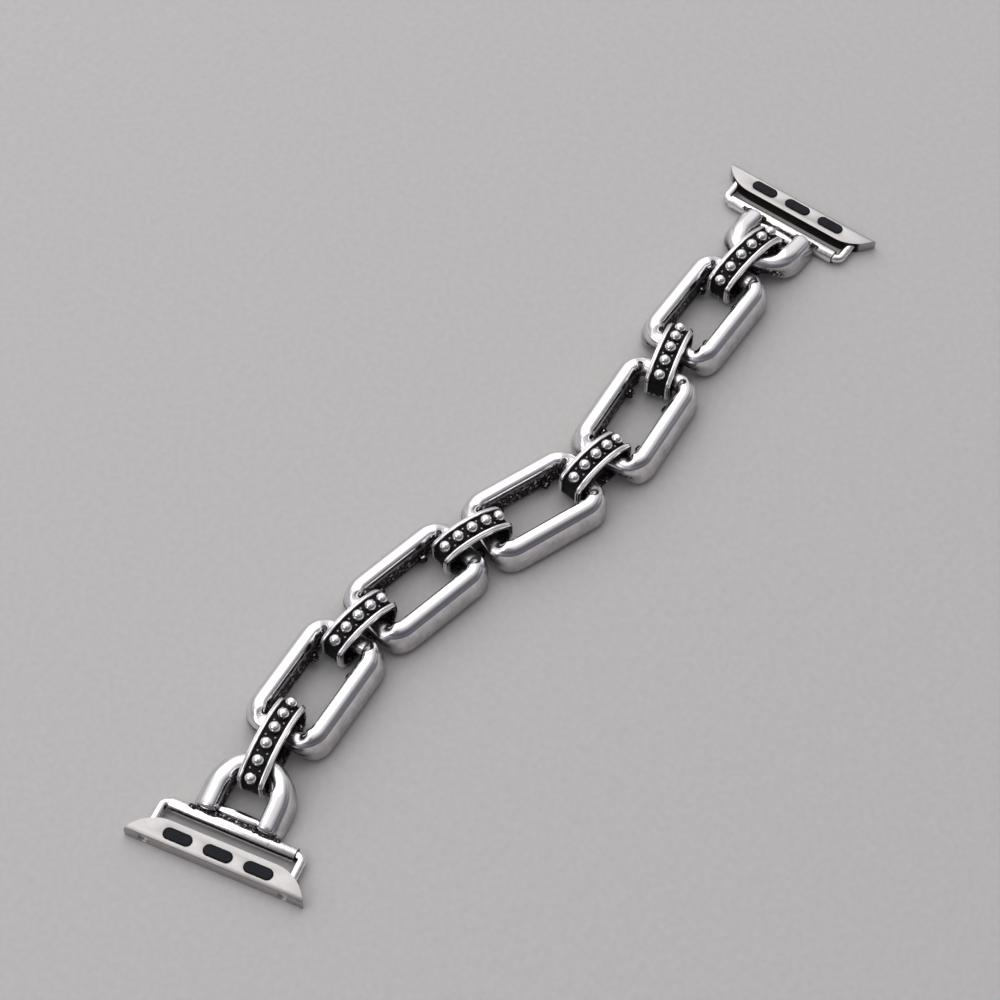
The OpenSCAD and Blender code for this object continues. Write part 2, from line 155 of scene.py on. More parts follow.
# %% Colours and nodes
def linear(hexcode):
    """An sRGB hex colour as the linear RGBA that shaders work with."""
    parts = [int(hexcode[i:i + 2], 16) / 255 for i in (1, 3, 5)]
    return tuple(c / 12.92 if c <= 0.04045 else ((c + 0.055) / 1.055) ** 2.4 for c in parts) + (1.0,)


def add(tree, kind, inputs=None, out=0, stops=(), **settings):
    """Adds a shader node and hands back one of its outputs. Inputs are values to set or sockets to link, and
    stops are the places and hex colours of a ramp."""
    made = tree.nodes.new("ShaderNode" + kind)
    for key, value in settings.items():
        setattr(made, key, value)
    for key, value in (inputs or {}).items():
        if isinstance(value, bpy.types.NodeSocket):
            tree.links.new(value, made.inputs[key])
        else:
            made.inputs[key].default_value = value
    if stops:
        band = made.color_ramp.elements
        for place, _ in stops[1:-1]:
            band.new(place)
        for element, (place, colour) in zip(band, stops):
            element.position, element.color = place, linear(colour)
    return made.outputs[out] if made.outputs else made


def new_material(name):
    """An empty node material, its tree and its Object coordinates."""
    made = bpy.data.materials.new(name)
    made.use_nodes = True
    made.node_tree.nodes.clear()
    return made, made.node_tree, add(made.node_tree, "TexCoord", out="Object")


print("white, linear:", linear("#ffffff"))

# %% [markdown]
# ## Antiqued silver
# Links, hoops and connectors are zinc alloy castings with a silver plating. They are dipped in a black
# bath and then tumbled and buffed: the wheel takes the black off whatever stands proud, and leaves it in the
# recesses, with a peppery edge between the two. A mask painted by hand would do, but here each mesh carries
# a number at every point, its tarnish and painted shade, 0 where the wheel reached and 1 where it did not,
# and the material breaks its edge up with casting grain. Open walls have 0.85, because the tumbling stones
# reached them here and there, and only the floor of a channel has 1. The undersides lie on the skin and are
# buffed as well. The outer sides of links and hoops have about a quarter, partly a thin film and partly painted
# shade.

# %% Antiqued silver
def antiqued_silver():
    made, tree, coords = new_material("antiqued_silver_plating")
    tarnish_and_shade = add(tree, "Attribute", out="Fac", attribute_name="tarnish_and_shade")
    # Pepper of about 0.3 mm where the wheel skipped, widest where the tarnish is about half
    pepper = add(tree, "TexNoise", {
        "Vector": coords, "Scale": 1 / (0.3 * MM), "Detail": 5.0, "Roughness": 0.6})
    swing = add(tree, "MapRange", {
        "Value": pepper, "From Min": 0.3, "From Max": 0.7, "To Min": -0.5, "To Max": 0.5})
    reach = add(tree, "MapRange", {
        "Value": tarnish_and_shade, "From Min": 0.3, "From Max": 0.7, "To Min": 0.05, "To Max": 0.8})
    worn = add(tree, "Math", {0: swing, 1: reach, 2: tarnish_and_shade}, operation="MULTIPLY_ADD")
    # Soft cloudy patches of a few millimetres
    clouds = add(tree, "TexNoise", {
        "Vector": coords, "Scale": 1 / (2.4 * MM), "Detail": 3.0, "Roughness": 0.55})
    drift = add(tree, "MapRange", {
        "Value": clouds, "From Min": 0.3, "From Max": 0.7, "To Min": -0.05, "To Max": 0.05})
    uneven = add(tree, "Math", {0: worn, 1: drift}, operation="ADD")
    # Bright flecks of half a millimetre on the black walls, where the tumbling stones only just touched
    stones = add(tree, "TexNoise", {
        "Vector": coords, "Scale": 1 / (0.5 * MM), "Detail": 2.0, "Roughness": 0.6})
    fleck = add(tree, "MapRange", {
        "Value": stones, "From Min": 0.43, "From Max": 0.36, "To Min": 0.0, "To Max": 1.0})
    touched = add(tree, "ValToRGB", {"Fac": tarnish_and_shade}, stops=[
        (0.5, "#000000"), (0.7, "#e7e7e7"), (0.88, "#e7e7e7"), (1.0, "#404040")])
    bare = add(tree, "Math", {0: fleck, 1: touched}, operation="MULTIPLY")
    black = add(tree, "Math", {0: uneven, 1: bare}, operation="SUBTRACT", use_clamp=True)
    # The casting skin: shallow pits, deeper where it was never buffed
    pits = add(tree, "TexNoise", {
        "Vector": coords, "Scale": 1 / (0.45 * MM), "Detail": 4.0, "Roughness": 0.55})
    rough = add(tree, "MapRange", {
        "Value": black, "From Min": 0.4, "From Max": 0.7, "To Min": 0.02, "To Max": 0.9})
    skin = add(tree, "Math", {0: pits, 1: rough}, operation="MULTIPLY")
    colour = add(tree, "ValToRGB", {"Fac": black}, stops=[
        (0.0, "#f8f6f7"), (0.12, "#efedef"), (0.27, "#bfbabc"), (0.4, "#a29c9c"), (0.56, "#5d5552"),
        (0.72, "#161314"), (1.0, "#080707")])
    shader = add(tree, "BsdfPrincipled", {
        "Base Color": colour,
        "Metallic": add(tree, "MapRange", {
            "Value": black, "From Min": 0.5, "From Max": 0.75, "To Min": 1.0, "To Max": 0.1}),
        "Roughness": add(tree, "MapRange", {
            "Value": black, "From Min": 0.05, "From Max": 0.75, "To Min": 0.14, "To Max": 0.62}),
        "Specular IOR Level": 0.25,
        "Normal": add(tree, "Bump", {"Height": skin, "Distance": 0.16 * MM}),
    })
    add(tree, "OutputMaterial", {"Surface": shader})
    return made


SILVER = antiqued_silver()
print("made", SILVER.name)

# %% [markdown]
# ## Steel, rubber, solder and elastic
# The lugs are machined stainless steel with a fine satin face, the wire and tube are drawn steel with a
# bright skin, and the pads are moulded silicone, dull and almost black. Solder that was not cleaned goes
# black and lumpy. The elastic is a rubber band with a knitted cover, which takes light like cloth.

# %% Steel
def satin_steel():
    made, tree, coords = new_material("satin_stainless_steel")
    # Brushing lines along the plate, drawn 0.12 mm apart so that they show at all
    stretched = add(tree, "Mapping", {"Vector": coords, "Scale": (1.0, 0.08, 1.0)})
    lines = add(tree, "TexNoise", {
        "Vector": stretched, "Scale": 1 / (0.12 * MM), "Detail": 3.0, "Roughness": 0.55})
    clouds = add(tree, "TexNoise", {
        "Vector": coords, "Scale": 1 / (3.0 * MM), "Detail": 2.0, "Roughness": 0.55})
    bright = add(tree, "ValToRGB", {"Fac": clouds}, stops=[(0.3, "#b2aeae"), (0.7, "#bab6b5")])
    # The rear wall in the gap gets painted shade, a dark brown
    shade = add(tree, "Attribute", out="Fac", attribute_name="tarnish_and_shade")
    tone = add(tree, "Mix", {"Factor": shade, 6: bright, 7: linear("#241e1b")}, out=2, data_type="RGBA")
    shader = add(tree, "BsdfPrincipled", {
        "Base Color": tone,
        "Metallic": 1.0,
        "Roughness": add(tree, "MapRange", {
            "Value": lines, "From Min": 0.3, "From Max": 0.7, "To Min": 0.4, "To Max": 0.5}),
        "Normal": add(tree, "Bump", {"Height": lines, "Distance": 0.004 * MM, "Strength": 0.4}),
    })
    add(tree, "OutputMaterial", {"Surface": shader})
    return made


def drawn_steel():
    made, tree, coords = new_material("drawn_steel")
    # Marks of the die, lumps of about 0.6 mm, a little duller than the skin between them
    marks = add(tree, "TexNoise", {
        "Vector": coords, "Scale": 1 / (0.6 * MM), "Detail": 5.0, "Roughness": 0.55})
    bright = add(tree, "ValToRGB", {"Fac": marks}, stops=[
        (0.25, "#b9b3b4"), (0.45, "#f3f0ef"), (1.0, "#fbfaf9")])
    # Painted shade darkens the ends of the hinge tube
    painted_end_shade = add(tree, "Attribute", out="Fac", attribute_name="tarnish_and_shade")
    shader = add(tree, "BsdfPrincipled", {
        "Base Color": add(tree, "Mix", {
            "Factor": painted_end_shade, 6: bright, 7: linear("#1c1816")}, out=2, data_type="RGBA"),
        "Metallic": 1.0,
        "Roughness": add(tree, "MapRange", {
            "Value": marks, "From Min": 0.3, "From Max": 0.75, "To Min": 0.12, "To Max": 0.28}),
        "Normal": add(tree, "Bump", {"Height": marks, "Distance": 0.015 * MM, "Strength": 0.5}),
    })
    add(tree, "OutputMaterial", {"Surface": shader})
    return made


STEEL, WIRE = satin_steel(), drawn_steel()
print("made", STEEL.name, "and", WIRE.name)

# %% Rubber, solder and elastic
def moulded_silicone():
    made, tree, coords = new_material("moulded_silicone")
    tone = add(tree, "TexNoise", {
        "Vector": coords, "Scale": 1 / (1.5 * MM), "Detail": 3.0, "Roughness": 0.55})
    # The mould was spark eroded: a fine even grain of 0.08 mm
    skin = add(tree, "TexNoise", {
        "Vector": coords, "Scale": 1 / (0.08 * MM), "Detail": 2.0, "Roughness": 0.55})
    colour = add(tree, "ValToRGB", {"Fac": tone}, stops=[(0.3, "#17171d"), (0.7, "#1f1f27")])
    # A painted shadow darkens the rim of each pad and latch button, where it sinks into its slot
    rim_shadow = add(tree, "Attribute", out="Fac", attribute_name="tarnish_and_shade")
    shader = add(tree, "BsdfPrincipled", {
        "Base Color": add(tree, "Mix", {
            "Factor": rim_shadow, 6: colour, 7: linear("#020202")}, out=2, data_type="RGBA"),
        "Specular IOR Level": 0.12,
        "Roughness": add(tree, "MapRange", {
            "Value": skin, "From Min": 0.3, "From Max": 0.7, "To Min": 0.5, "To Max": 0.62}),
        "Normal": add(tree, "Bump", {"Height": skin, "Distance": 0.008 * MM, "Strength": 0.5}),
    })
    add(tree, "OutputMaterial", {"Surface": shader})
    return made


def black_solder():
    made, tree, coords = new_material("oxidised_solder")
    # Flux char in grains of a third of a millimetre, with bare metal on the highest ones
    grains = add(tree, "TexNoise", {
        "Vector": coords, "Scale": 1 / (0.34 * MM), "Detail": 4.0, "Roughness": 0.6})
    shader = add(tree, "BsdfPrincipled", {
        "Base Color": add(tree, "ValToRGB", {"Fac": grains}, stops=[
            (0.3, "#0a0809"), (0.53, "#1a1616"), (0.6, "#6d6663"), (0.66, "#e4e0de")]),
        "Metallic": add(tree, "MapRange", {
            "Value": grains, "From Min": 0.5, "From Max": 0.64, "To Min": 0.1, "To Max": 1.0}),
        "Roughness": add(tree, "MapRange", {
            "Value": grains, "From Min": 0.4, "From Max": 0.66, "To Min": 0.7, "To Max": 0.25}),
        "Normal": add(tree, "Bump", {"Height": grains, "Distance": 0.3 * MM}),
    })
    add(tree, "OutputMaterial", {"Surface": shader})
    return made


def knitted_elastic():
    made, tree, coords = new_material("knitted_elastic")
    # Courses of the knitted cover, 0.5 mm apart: a wave texture has one wave per 2 pi / 20 units
    courses = add(tree, "TexWave", {
        "Vector": coords, "Scale": 2 * math.pi / 20 / (0.5 * MM), "Distortion": 1.0},
        out="Fac", bands_direction="Z")
    shader = add(tree, "BsdfPrincipled", {
        "Base Color": add(tree, "ValToRGB", {"Fac": courses}, stops=[(0.2, "#0e0d0f"), (0.9, "#2a272b")]),
        "Roughness": 0.85,
        "Sheen Weight": 0.2,
        "Normal": add(tree, "Bump", {"Height": courses, "Distance": 0.03 * MM}),
    })
    add(tree, "OutputMaterial", {"Surface": shader})
    return made


SILICONE, SOLDER, ELASTIC = moulded_silicone(), black_solder(), knitted_elastic()
print("materials:", len(bpy.data.materials))

# %% [markdown]
# ## Helpers for meshes
# Most of the band is bent bar: a section that travels along a path and changes on the way. Blender's own
# extrude keeps a section as it is, so each section is a circle pulled into shape, and neighbouring sections
# are bridged. A subdivision surface then gives the soft skin of a polished casting.

# %% Mesh helpers
def section_ring(bm, points, values):
    """A closed loop: a circle of as many corners as there are points, pulled into shape. Each corner
    keeps its tarnish and painted shade."""
    corners = bmesh.ops.create_circle(bm, cap_ends=False, radius=1.0, segments=len(points))["verts"]
    layer = bm.verts.layers.float["tarnish_and_shade"]
    for corner, point, value in zip(corners, points, values):
        corner.co = point
        corner[layer] = value
    return corners


def loop_edges(corners):
    near = zip(corners, corners[1:] + corners[:1])
    return [next(e for e in a.link_edges if e.other_vert(a) is b) for a, b in near]


def bridge(bm, rings, closed):
    """Joins neighbouring rings, and the last to the first where the path is closed. Open ends are capped."""
    edges = [loop_edges(r) for r in rings]
    for first, second in zip(edges, edges[1:] + (edges[:1] if closed else [])):
        bmesh.ops.bridge_loops(bm, edges=first + second)
    if not closed:
        for end in (rings[0], rings[-1]):
            bmesh.ops.contextual_create(bm, geom=end)


def new_bmesh():
    bm = bmesh.new()
    bm.verts.layers.float.new("tarnish_and_shade")
    return bm


def set_tarnish_and_shade(bm, corners, rule):
    layer = bm.verts.layers.float["tarnish_and_shade"]
    for corner in corners:
        corner[layer] = rule(corner.co)


def finish_piece(name, bm, place, body, finish, stands_for=(), levels=2, sharp=None):
    """Puts a mesh made in millimetres in its place, as an object that rides on a body."""
    bmesh.ops.recalc_face_normals(bm, faces=bm.faces)
    bmesh.ops.transform(bm, matrix=place, verts=bm.verts)
    mesh = bpy.data.meshes.new(name)
    bm.to_mesh(mesh)
    bm.free()
    mesh.polygons.foreach_set("use_smooth", [True] * len(mesh.polygons))
    if sharp is not None:
        mesh.set_sharp_from_angle(angle=math.radians(sharp))
    mesh.materials.append(finish)
    made = bpy.data.objects.new(name, mesh)
    bpy.context.scene.collection.objects.link(made)
    if levels:
        smooth = made.modifiers.new("smooth", "SUBSURF")
        smooth.levels = smooth.render_levels = levels
    if body:
        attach(made, body)
    if stands_for:
        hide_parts(*stands_for)
    return made


def ease(t):
    """0 up to t = 0, 1 from t = 1 on, and a soft rise between them."""
    t = min(1.0, max(0.0, t))
    return t * t * (3 - 2 * t)


print("soft rise at a quarter and three quarters:", round(ease(0.25), 3), round(ease(0.75), 3))

# %% [markdown]
# ## Cast links
# Each link is a flat oval: two broad rails joined by a round bar at each end, where the connectors ride. The
# rails lean in towards the top. From above you see a bright crown, a thin crease, a narrow facet and then
# the grey outer side, while the inner wall is black. It could be sculpted, but one section that changes from
# round to cast while it travels once round the oval gives the same skin with clean rows of faces.

# %% The cast section
# In mm: lean of the outer side, height of the crown, radius of the foot, height of the inner ledge
LEAN, CROWN, FOOT, LEDGE = 1.2, 0.95, 0.5, 0.3
# Width and height of a link's rail, and how deep it reaches below the middle of the end bars
RAIL_W, RAIL_H, RAIL_BELOW = 4.1, 5.6, 3.1
# Tarnish of an open wall, and of the top and underside of a round bar
WALL, BAR_TOP, BAR_UNDER = 0.85, 0.15, 0.3


def cast_section(half, below, above):
    """Corners of the section as (outward, up, tarnish and painted shade), from the foot of the inner wall and
    round.
    """
    side = below + above - CROWN - FOOT
    out = half - LEAN
    return [
        (-half, FOOT - below, WALL),
        (-half + FOOT / 2, -below, 0.5),
        (0, -below, 0.22),
        (half - FOOT, -below, 0.2),
        # Foot and outer side: about a quarter, greyer than the crown, partly a thin film the buffing left and
        # partly painted shade
        (half, FOOT - below, 0.26),
        (half - 0.08 * LEAN, FOOT - below + 0.25 * side, 0.27),
        (half - 0.22 * LEAN, FOOT - below + 0.5 * side, 0.25),
        (half - 0.45 * LEAN, FOOT - below + 0.75 * side, 0.2),
        (out + 0.38, above - CROWN - 0.32, 0.16),
        (out + 0.3, above - CROWN - 0.2, 0.1),
        (out + 0.02, above - CROWN + 0.12, 0.08),
        (out - 0.05, above - CROWN + 0.17, 0.36),
        (out - 0.12, above - CROWN + 0.26, 0.04),
        (out - 0.45, above - 0.25 * CROWN, 0.0),
        (-0.2 * half, above, 0.0),
        (-0.52 * half, above - 0.05 * CROWN, 0.0),
        (-half + LEDGE + 0.42, above - 0.22 * CROWN, 0.0),
        (-half + LEDGE + 0.2, above - 0.42 * CROWN, 0.2),
        (-half + LEDGE + 0.1, above - 0.55 * CROWN, 0.02),
        (-half + 0.12, above - CROWN - 0.1, 0.05),
        (-half, above - CROWN - LEDGE - 0.25, 0.55),
        (-half, above - CROWN - LEDGE - 0.6, WALL),
        (-half, -below / 2, WALL),
    ]


def section_at(x, y, direction, share, round_r, cast):
    """Corners of a section at a station, and their tarnish and painted shade: the round one, moved towards the
    cast one.
    """
    points, values = [], []
    for out, up, tarnish_and_shade in cast:
        size = math.hypot(out, up)
        u = out * round_r / size * (1 - share) + out * share
        z = up * round_r / size * (1 - share) + up * share
        points.append((x + u * math.cos(direction), y + u * math.sin(direction), z))
        round_tarnish = BAR_TOP if up > 0.3 * round_r else BAR_UNDER if up < -0.8 * round_r else WALL
        values.append(tarnish_and_shade * share + (1 - share) * round_tarnish)
    return points, values


RAIL = cast_section(RAIL_W / 2, RAIL_BELOW, RAIL_H - RAIL_BELOW)
print("corners of the cast section:", len(RAIL))

# %% Path of a link
# Distance of the end bars, width over the rails, diameter of the end bars and half their straight length
LINK_P, LINK_W, BAR_D, BAR_HALF = 20.2, 16.1, 3.4, 3.4
# Bend radii beside the rail and beside the end bar, and the turn of the slanted run between them
SIDE_BEND, END_BEND, SLANT_OUT = 3.0, 2.3, math.radians(60)
# Stations along half an end bar, steps round the two bends, and a station as a share of half a rail
BAR_STATIONS, CORNER_STEPS, SIDE_STEPS, RAIL_STATION = (0.0, 1.8, 3.1), 6, 3, 0.55
SIDE_Y = LINK_W / 2 - RAIL_W / 2
SLANT_Y = SIDE_Y - SIDE_BEND * (1 - math.sin(SLANT_OUT)) - BAR_HALF - END_BEND * math.sin(SLANT_OUT)
SIDE_HALF = (LINK_P / 2 - END_BEND - SLANT_Y / math.cos(SLANT_OUT) * math.sin(SLANT_OUT)
             + (END_BEND - SIDE_BEND) * math.cos(SLANT_OUT))


def link_quarter():
    """Stations of a quarter of a link, from the middle of its end bar to the middle of its side, as (x, y,
    direction of the outside, share of the cast section)."""
    path = [(LINK_P / 2, y, 0.0, 0.0) for y in BAR_STATIONS]
    for i in range(CORNER_STEPS + 1):
        a = SLANT_OUT * i / CORNER_STEPS
        path.append((LINK_P / 2 - END_BEND + END_BEND * math.cos(a), BAR_HALF + END_BEND * math.sin(a), a,
                     ease(i / CORNER_STEPS)))
    for i in range(SIDE_STEPS + 1):
        a = SLANT_OUT + (math.pi / 2 - SLANT_OUT) * i / SIDE_STEPS
        path.append((SIDE_HALF + SIDE_BEND * math.cos(a), SIDE_Y - SIDE_BEND + SIDE_BEND * math.sin(a),
                     a, 1.0))
    path.append((SIDE_HALF * RAIL_STATION, SIDE_Y, math.pi / 2, 1.0))
    path.append((0.0, SIDE_Y, math.pi / 2, 1.0))
    return path


def link_path():
    """The whole closed path: the quarter, mirrored three times, each shared station once."""
    quarter = link_quarter()
    half = quarter + [(-x, y, math.pi - a, s) for x, y, a, s in quarter[-2::-1]]
    return half[:-1] + [(-x, -y, a + math.pi, s) for x, y, a, s in half[:-1]]


print("stations round a link:", len(link_path()))

# %% Build the links
# Nubs: diameter, how far they stand out, distance from the end bar, height and tarnish
NUB_D, NUB_OUT, NUB_OUT_SHORT, NUB_FROM_BAR, NUB_Z, NUB_TARNISH = 1.9, 1.25, 0.7, 5.3, -1.6, 0.8


def build_link(i):
    bm = new_bmesh()
    rings = []
    for x, y, a, s in link_path():
        points, values = section_at(x, y, a, s, BAR_D / 2, RAIL)
        rings.append(section_ring(bm, points, values))
    bridge(bm, rings, closed=True)
    # Casting gates left as small round nubs on the inner walls
    for x in (-1, 1):
        # The longer first connector slides further into the first link, so its nubs are cut shorter
        nub_out = NUB_OUT_SHORT if (i, x) == (1, -1) else NUB_OUT
        for y in (-1, 1):
            wall = SIDE_Y - RAIL_W / 2 + NUB_D / 2 - nub_out
            spot = Matrix.Translation((x * (LINK_P / 2 - NUB_FROM_BAR), y * wall, NUB_Z))
            nub = bmesh.ops.create_icosphere(bm, subdivisions=2, radius=NUB_D / 2, matrix=spot)
            set_tarnish_and_shade(bm, nub["verts"], lambda co: NUB_TARNISH)
    return finish_piece(f"cast_link_{i}", bm, link_place[i], f"link_{i}", SILVER,
                        [f"link_{i}"])


links = [build_link(i) for i in range(1, 6)]
print("links built:", len(links))

# %% [markdown]
# ## Hoops
# The hoops that carry the band on its lugs are cast like half a link: a round arch under the connector and
# two legs with the same leaning section, soldered to the hinge tube. The underside of the legs lies level
# with the table, so the section gets deeper from the foot to the arch.

# %% Build the hoops
# Width and length over all, rod of the arch, width of a leg, height and depth below the rod's middle
HOOP_W, HOOP_L, HOOP_ROD, LEG_W, HOOP_H, HOOP_BELOW = 15.0, 13.0, 3.7, 4.4, 4.9, 2.4
LEG_Y = (HOOP_W - HOOP_ROD) / 2
ARCH_X = HOOP_L - HOOP_ROD / 2 - LEG_Y
# Diameters of the hinge tube and the cross bar, height of the wire over the table, gap under the legs
TUBE_D, CROSS_BAR_D, WIRE_Z, LEG_GAP = 2.4, 2.0, 1.2, 0.1
# Stations round the arch in degrees, and where the section starts to change and how long that takes
ARCH_TURNS, ROUND_UNTIL, CHANGES_OVER = (0, 12, 24, 34, 43, 52, 61, 70, 80, 90), 34, 36
# Stations down a leg, as distances from the hinge wire
LEG_STATIONS = (4.2, 2.4, 0.95)


def hoop_path():
    """Stations of a hoop, from one foot round the arch to the other, as (x, y, direction, share)."""
    half = []
    for degrees in ARCH_TURNS:
        a = math.radians(degrees)
        half.append((ARCH_X + LEG_Y * math.cos(a), LEG_Y * math.sin(a), a,
                     ease((degrees - ROUND_UNTIL) / CHANGES_OVER)))
    half += [(x, LEG_Y, math.pi / 2, 1.0) for x in LEG_STATIONS]
    return [(x, -y, -a, s) for x, y, a, s in half[:0:-1]] + half


def build_hoop(end):
    pitch = math.asin((rods[end] - tubes[end]).normalized().z)
    bm = new_bmesh()
    rings = []
    for x, y, a, s in hoop_path():
        below = min(HOOP_BELOW, (WIRE_Z - LEG_GAP + x * math.sin(pitch)) / math.cos(pitch))
        cast = cast_section(LEG_W / 2, below, HOOP_H - HOOP_BELOW)
        points, values = section_at(x, y, a, s, HOOP_ROD / 2, cast)
        rings.append(section_ring(bm, points, values))
    bridge(bm, rings, closed=False)
    # The straight bar that closes the D, beside the hinge tube
    lie = Matrix.Translation((TUBE_D / 2 + CROSS_BAR_D / 2, 0, 0)) @ Matrix.Rotation(math.pi / 2, 4, "X")
    bar = bmesh.ops.create_cone(bm, cap_ends=True, segments=16, radius1=CROSS_BAR_D / 2,
                                radius2=CROSS_BAR_D / 2, depth=2 * LEG_Y, matrix=lie)
    set_tarnish_and_shade(bm, bar["verts"], lambda co: 0.05 if co.z > 0.2 else 0.9)
    return finish_piece(f"cast_hoop_{end}", bm, hoop_place[end], f"hoop_{end}", SILVER,
                        [f"hoop_{end}"])


hoops = [build_hoop(end) for end in "ab"]
print("hoops built:", len(hoops))

# %% [markdown]
# ## Solder
# The hoops are soldered to their tubes by hand, and nobody cleaned the joints: a black, lumpy seam runs
# round each foot and along the cross bar. A string of dented blobs is closer to it than any tidy fillet.

# %% Build the solder
def lump(bm, spot, size, seed):
    """A flattened blob of solder with a dented skin."""
    for corner in bmesh.ops.create_icosphere(bm, subdivisions=3, radius=1.0)["verts"]:
        large = noise.noise(corner.co * 1.9 + Vector((seed, 0, 0)))
        small = noise.noise(corner.co * 4.5)
        dented = corner.co * (1 + (large * 0.35 + small * 0.15))
        corner.co = dented * Vector(size) + spot


# Where each hoop reads the noise, so that no two seams look alike
SEEDS = {"a": 3.1, "b": 8.7}
# Lumps in front of a leg, down its inner side, and along the cross bar
FRONT_LUMPS, SIDE_LUMPS, SEAM_LUMPS = 9, 5, 16
# Distance of the first lump of the seam from the middle of a leg
SEAM_FROM_LEG = 2.5


def build_solder(end):
    bm = new_bmesh()
    seed = SEEDS[end]
    for side in (-1, 1):
        for i in range(FRONT_LUMPS):
            t = i / (FRONT_LUMPS - 1)
            y = side * (LEG_Y - 2.1 + 4.2 * t)
            high = 0.85 + 0.35 * noise.noise(Vector((seed, t * 5, side)))
            lump(bm, Vector((0.8, y, high)), (0.42, 0.42, 0.36), seed + 13 * i + side)
        for i in range(SIDE_LUMPS):
            down = Vector((1.05, side * (LEG_Y - 2.25), 0.9 - 0.4 * i))
            lump(bm, down, (0.4, 0.3, 0.35), seed + 7 * i)
    for i in range(SEAM_LUMPS):
        y = -LEG_Y + SEAM_FROM_LEG + 2 * (LEG_Y - SEAM_FROM_LEG) * i / (SEAM_LUMPS - 1)
        size = 0.26 + 0.12 * noise.noise(Vector((seed, i * 0.7, 2)))
        lump(bm, Vector((TUBE_D / 2 - 0.02, y, 0.62)), (size, 0.4, size), seed + 3 * i)
    return finish_piece(f"hoop_solder_{end}", bm, hoop_place[end], f"hoop_{end}", SOLDER,
                        levels=0)


seams = [build_solder(end) for end in "ab"]
print("corners of a solder seam:", len(seams[0].data.vertices))

# %% [markdown]
# ## Connectors
# A connector is a closed ring of broad cast strap, standing on edge, with an arched top. A black channel runs
# between two polished rims, and a row of beads stands in it. Seen from the side the ring is a rounded block
# cut by a large circle, so its skin is found with a distance rule: a point lies so many millimetres under
# the skin. Walking round the ring at chosen depths gives rims, channel and bore with one rule.

# %% The skin of a connector
# Height, thickness of the strap, radius of the block's corners, and how softly block and arch meet
RING_H, RING_WALL, RING_ROUND, SOFT = 8.2, 1.2, 3.1, 0.7
CHANNEL_W, CHANNEL_D, BEAD_D = 3.0, 0.55, 2.1
BEAD_LIFT = BEAD_D / 2 - 0.9 * (RING_WALL - CHANNEL_D)
# Length, radius of the arch, number of beads and distance between them
RING_SIZES = {"inner": (13.9, 12.0, 5, 2.8), "outer": (16.4, 15.0, 6, 3.05)}


def under_skin(x, z, length, crown_r):
    """How far the point (x, z) lies under the outer skin of the ring; negative outside."""
    dx = abs(x) - (length / 2 - RING_ROUND)
    dz = abs(z - RING_H / 2) - (RING_H / 2 - RING_ROUND)
    block = math.hypot(max(dx, 0), max(dz, 0)) + min(max(dx, dz), 0) - RING_ROUND
    crown = math.hypot(x, z - RING_H + crown_r) - crown_r
    blend = max(SOFT - abs(block - crown), 0) / SOFT
    return -(max(block, crown) + blend * blend * SOFT / 8)


def skin_point(turn, depth, length, crown_r):
    """The point at this depth, in the direction turn round the middle of the ring."""
    aim = (math.cos(turn) * length / 2, math.sin(turn) * RING_H / 2)
    # The skin lies between these shares of the aim, and halving their distance finds it
    near, far = 0.2, 1.3
    for _ in range(26):
        half = (near + far) / 2
        if under_skin(aim[0] * half, RING_H / 2 + aim[1] * half, length, crown_r) > depth:
            near = half
        else:
            far = half
    return aim[0] * near, RING_H / 2 + aim[1] * near


print("skin over the middle, mm:", round(skin_point(math.pi / 2, 0, *RING_SIZES["inner"][:2])[1], 2))

# %% Build the connectors
# Stations round a ring, height of the skin where the channel begins, and the rise over which it gets deep
RING_STEPS, CHANNEL_FROM, CHANNEL_OVER = 52, 1.2, 1.0
# Grains: radius, distance from the middle of the channel, and how far their middle lies over its floor
GRAIN_R, GRAIN_SIDE, GRAIN_LIFT = 0.28, 0.85, 0.08
# Smoothing draws a bead in by 1.5 percent at its top and 5 percent at its sides, so it starts a little larger
SWELL = 1.02


def strap_section(channel):
    """Half of the strap's section as (across, depth, tarnish), from the middle of the channel to the middle
    of the bore. The channel fades out with its share."""
    floor = CHANNEL_D * channel
    dark = 0.25 + 0.75 * channel
    edge = CHANNEL_W / 2
    return [
        (edge - 0.6, floor, dark), (edge - 0.1, floor, dark), (edge, 0.75 * floor, dark),
        (edge + 0.04, 0.2 * floor, 0.3 * dark), (edge + 0.14, 0.0, 0.0), (edge + 0.4, 0.0, 0.0),
        (edge + 0.45, 0.06, 0.0), (edge + 0.5, 0.2, 0.28), (edge + 0.59, 0.22, 0.28),
        (edge + 0.64, 0.12, 0.0), (edge + 0.76, 0.18, 0.0), (edge + 0.85, 0.36, 0.0),
        (edge + 0.85, 0.62, 0.05),
        (edge + 0.82, 1.0, 0.55), (edge + 0.66, RING_WALL, WALL), (0.6, RING_WALL, WALL),
    ]


